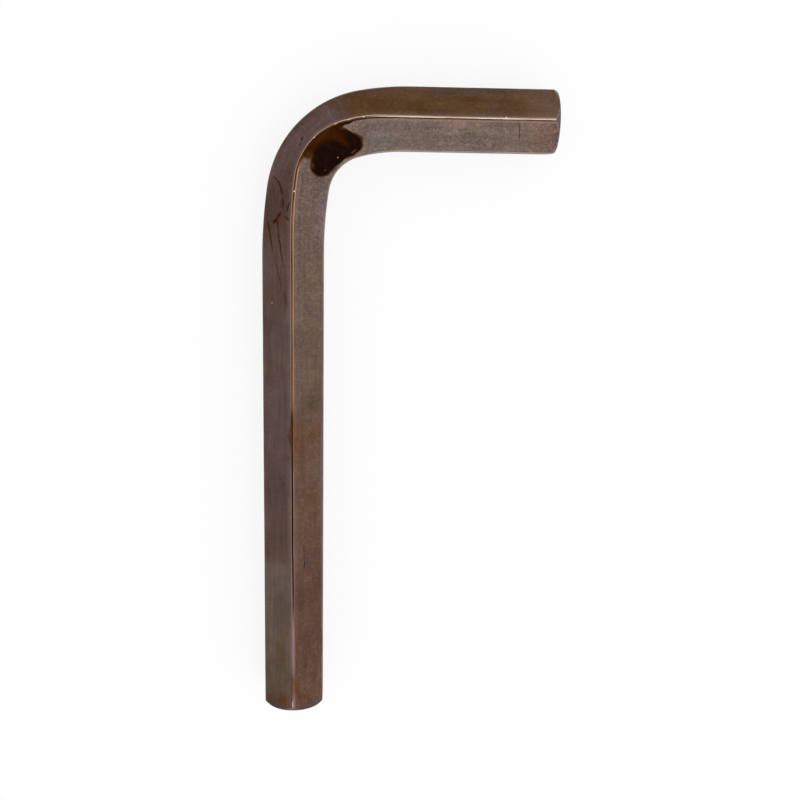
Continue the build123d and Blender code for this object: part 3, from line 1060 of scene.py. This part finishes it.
    def paint_edges(self, painter: BarPainter, close: bpy.types.NodeSocket) -> bpy.types.NodeSocket:
        """Lays bare steel on the worn corner edges, and the fine lines along the top edge: painted
        highlights beside its rounding, a dark line of oil down the long arm, and along the short arm a
        painted highlight, partly bare steel, beside a painted shade line.

        Args:
            painter: the map's painter.
            close: the map with slightly wandering edges.

        Returns:
            The mask of bare steel.
        """
        corner = add_node(painter.tree, "ShaderNodeAttribute", {"attribute_name": "corner"}, {})
        worn = painter.ramp(painter.streaky(self.edge_wear), *self.edge_worn)
        bare = painter.all_of(corner.outputs["Fac"], worn)
        painter.lay(self.bare_steel, bare, self.bare_strength)
        shift = painter.ramp(painter.along, *self.worn_tip, self.worn_shift, 0.0)
        wavy = add_node(painter.tree, "ShaderNodeMix", {"data_type": "FLOAT"},
                        {"Factor": self.top_edge_wander, 2: painter.across,
                         3: painter.round_of(close)}).outputs[0]
        across = add_node(painter.tree, "ShaderNodeMath", {"operation": "SUBTRACT"},
                          {0: wavy, 1: shift}).outputs["Value"]
        past_seam = painter.ramp(painter.along, *self.oil_and_shade_seam_start)
        past_bend = painter.ramp(painter.along, *self.bend_exit)
        # the top edge's lines: painted highlights and a painted shade line, with oil and bare steel
        for strip, reach in ((self.beside_edge, painter.all_of(past_bend, self.beside_strength)),
                             (self.outer_highlight_line, 1.0), (self.middle_oil_and_highlight_line, 1.0),
                             (self.inner_highlight_and_seam_line, painter.inverse(past_seam)),
                             (self.oil_seam_and_shade_line, past_seam)):
            painter.lay(painter.tones(strip.tones, painter.along),
                        painter.between(across, strip.start, strip.end, strip.blur), reach)
        return bare

    def paint_tips(self, painter: BarPainter) -> None:
        """Lays the ground bevels and faces of the tips: burnt brown at the long arm's, purple
        grey at the short arm's, with a lighter line where the bevel breaks."""
        ground = add_node(painter.tree, "ShaderNodeAttribute", {"attribute_name": "ground"},
                          {}).outputs["Fac"]
        short_arm = painter.ramp(painter.along, *self.short_half)
        bevel = painter.ramp(ground, *self.bevel_depth)
        painter.lay(self.long_bevel, bevel)
        painter.lay(self.short_bevel, bevel, short_arm)
        painter.lay(self.tip_face, painter.ramp(painter.along, painter.length,
                                                painter.length + self.tip_face_blend))
        painter.shade(painter.cloudy(self.ground_grain), painter.all_of(ground, self.ground_contrast))
        painter.lay(self.bevel_break, painter.between(ground, *self.break_band), short_arm,
                    self.break_strength)

    def set_roughness(self, painter: BarPainter, shader: bpy.types.Node,
                      bare: bpy.types.NodeSocket, pool: bpy.types.NodeSocket) -> None:
        """Sets the roughness, uneven over the oxide and glossier on bare steel and oil.

        Args:
            painter: the map's painter.
            shader: the material's shader.
            bare: the mask of bare steel.
            pool: the mask of the pool of oil.
        """
        rough = painter.ramp(painter.cloudy(self.gloss_grain), *self.gloss_levels,
                             self.roughness - self.roughness_swing,
                             self.roughness + self.roughness_swing)
        for mask, value in ((bare, self.bare_roughness), (pool, self.oil_roughness)):
            rough = add_node(painter.tree, "ShaderNodeMix", {"data_type": "FLOAT"},
                             {"Factor": mask, 2: rough, 3: value}).outputs[0]
        painter.tree.links.new(rough, shader.inputs["Roughness"])

    def set_relief(self, painter: BarPainter, shader: bpy.types.Node,
                   drawn: bpy.types.NodeSocket, grain: bpy.types.NodeSocket) -> None:
        """Sets the fine relief: the oxide's grain, with the drawing streaks added.

        Args:
            painter: the map's painter.
            shader: the material's shader.
            drawn: the noise of the drawing streaks.
            grain: the noise of the oxide's grain.
        """
        height = add_node(painter.tree, "ShaderNodeMath", {"operation": "MULTIPLY_ADD"},
                          {0: drawn, 1: self.streak_share, 2: grain})
        bump = add_node(painter.tree, "ShaderNodeBump", {},
                        {"Strength": 1.0, "Distance": self.relief,
                         "Height": height.outputs["Value"]})
        painter.tree.links.new(bump.outputs["Normal"], shader.inputs["Normal"])


# ---------------------------------------------------------------------------------------
# Stage
# ---------------------------------------------------------------------------------------

@dataclass(frozen=True)
class Camera:
    """A camera almost straight above the bend's inner side, tipped towards the long tip."""

    place: tuple[float, float, float] = (-0.006334, 0.020044, 0.11106)
    turn: tuple[float, float, float] = (-10.15, -2.93, 0.87)        # in degrees
    lens: float = 48.0
    sensor: float = 36.0
    nearest: float = 0.01

    def build(self) -> None:
        """Adds the camera and makes it the scene's."""
        data = bpy.data.cameras.new("camera")
        data.lens = self.lens
        data.sensor_width = self.sensor
        data.clip_start = self.nearest
        camera = bpy.data.objects.new("camera", data)
        camera.location = self.place
        camera.rotation_euler = [math.radians(angle) for angle in self.turn]
        bpy.context.scene.collection.objects.link(camera)
        bpy.context.scene.camera = camera


@dataclass(frozen=True)
class Lamp:
    """A square soft lamp that faces the key."""

    name: str
    place: tuple[float, float, float]
    size: float
    watts: float

    def build(self) -> None:
        """Adds the lamp, aimed at the origin."""
        data = bpy.data.lights.new(self.name, "AREA")
        data.energy = self.watts
        data.size = self.size
        lamp = bpy.data.objects.new(self.name, data)
        lamp.location = self.place
        aim = -lamp.location
        lamp.rotation_euler = aim.to_track_quat("-Z", "Y").to_euler()
        bpy.context.scene.collection.objects.link(lamp)


@dataclass(frozen=True)
class Studio:
    """A white floor, and a soft white surround that is brighter on the bend's inner side."""

    floor_size: float = 3.0
    floor_colour: str = "#f4f4f4"
    floor_roughness: float = 0.9
    paper_white: float = 0.85           # share of the floor that stays white in the shadow
    dim_side: float = 0.74              # strength of the surround away from the bright side
    bright_side: float = 1.22
    bright_from: tuple[float, float, float] = (0.7, -0.7, 0.15)
    brightening: tuple[float, float] = (-0.3, 0.6)      # over this run towards the bright side
    overhead: Lamp = Lamp("overhead", place=(0.15, -0.1, 0.6), size=0.3, watts=0.6)

    def build(self) -> None:
        """Builds the floor, the surround and the lamp."""
        self.build_floor()
        self.build_world()
        self.overhead.build()
        bpy.context.scene.view_settings.view_transform = "Standard"

    def build_floor(self) -> None:
        """The floor: white where it is seen or mirrored, with a faint shadow left on it."""
        half = self.floor_size / 2
        mesh = bpy.data.meshes.new("floor")
        mesh.from_pydata([(-half, -half, 0), (half, -half, 0), (half, half, 0), (-half, half, 0)],
                         [], [(0, 1, 2, 3)])
        floor = bpy.data.objects.new("floor", mesh)
        bpy.context.scene.collection.objects.link(floor)
        paper = bpy.data.materials.new("white_paper")
        paper.use_nodes = True
        tree = paper.node_tree
        shader = tree.nodes["Principled BSDF"]
        shader.inputs["Base Color"].default_value = linear(self.floor_colour)
        shader.inputs["Roughness"].default_value = self.floor_roughness
        ray = add_node(tree, "ShaderNodeLightPath", {}, {})
        seen = ray.outputs["Is Camera Ray"]
        for way in ("Is Glossy Ray", "Is Transmission Ray"):
            seen = add_node(tree, "ShaderNodeMath", {"operation": "MAXIMUM"},
                            {0: seen, 1: ray.outputs[way]}).outputs["Value"]
        share = add_node(tree, "ShaderNodeMath", {"operation": "MULTIPLY"},
                         {0: seen, 1: self.paper_white})
        white = add_node(tree, "ShaderNodeEmission", {}, {"Strength": 1.0})
        mixed = add_node(tree, "ShaderNodeMixShader", {},
                         {0: share.outputs["Value"], 1: shader.outputs["BSDF"],
                          2: white.outputs["Emission"]})
        tree.links.new(mixed.outputs["Shader"], tree.nodes["Material Output"].inputs["Surface"])
        mesh.materials.append(paper)

    def build_world(self) -> None:
        """A white surround whose strength rises smoothly towards the bright side."""
        world = bpy.data.worlds.new("studio")
        bpy.context.scene.world = world
        world.use_nodes = True
        tree = world.node_tree
        direction = add_node(tree, "ShaderNodeTexCoord", {}, {}).outputs["Generated"]
        facing = add_node(tree, "ShaderNodeVectorMath", {"operation": "DOT_PRODUCT"},
                          {0: direction, 1: self.bright_from})
        start, end = self.brightening
        strength = add_node(tree, "ShaderNodeMapRange", {"interpolation_type": "SMOOTHSTEP"},
                            {"Value": facing.outputs["Value"], "From Min": start, "From Max": end,
                             "To Min": self.dim_side, "To Max": self.bright_side})
        background = tree.nodes["Background"]
        background.inputs["Color"].default_value = (1, 1, 1, 1)
        tree.links.new(strength.outputs["Result"], background.inputs["Strength"])


def main() -> None:
    """Builds the key, its finish and the stage."""
    logging.basicConfig(level=logging.INFO, format="%(name)s: %(message)s")
    low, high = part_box("hex_key")
    size = (high - low) / MM
    across_flats = 2 * ((size.z / 2 - CORNER_RADIUS) * math.cos(SLANT) + CORNER_RADIUS)
    bar = HexBar(across_flats=across_flats, long_arm=size.y, short_arm=size.x,
                 rest_height=size.z / 2, nicks=tuple(Nick(along) for along in EDGE_NICKS))
    key = bar.build("bent_bar")
    key.data.materials.append(OxidisedSteel().material(bar.length))
    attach(key, "root")
    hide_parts("hex_key")
    Studio().build()
    Camera().build()


if __name__ == "__main__":
    main()
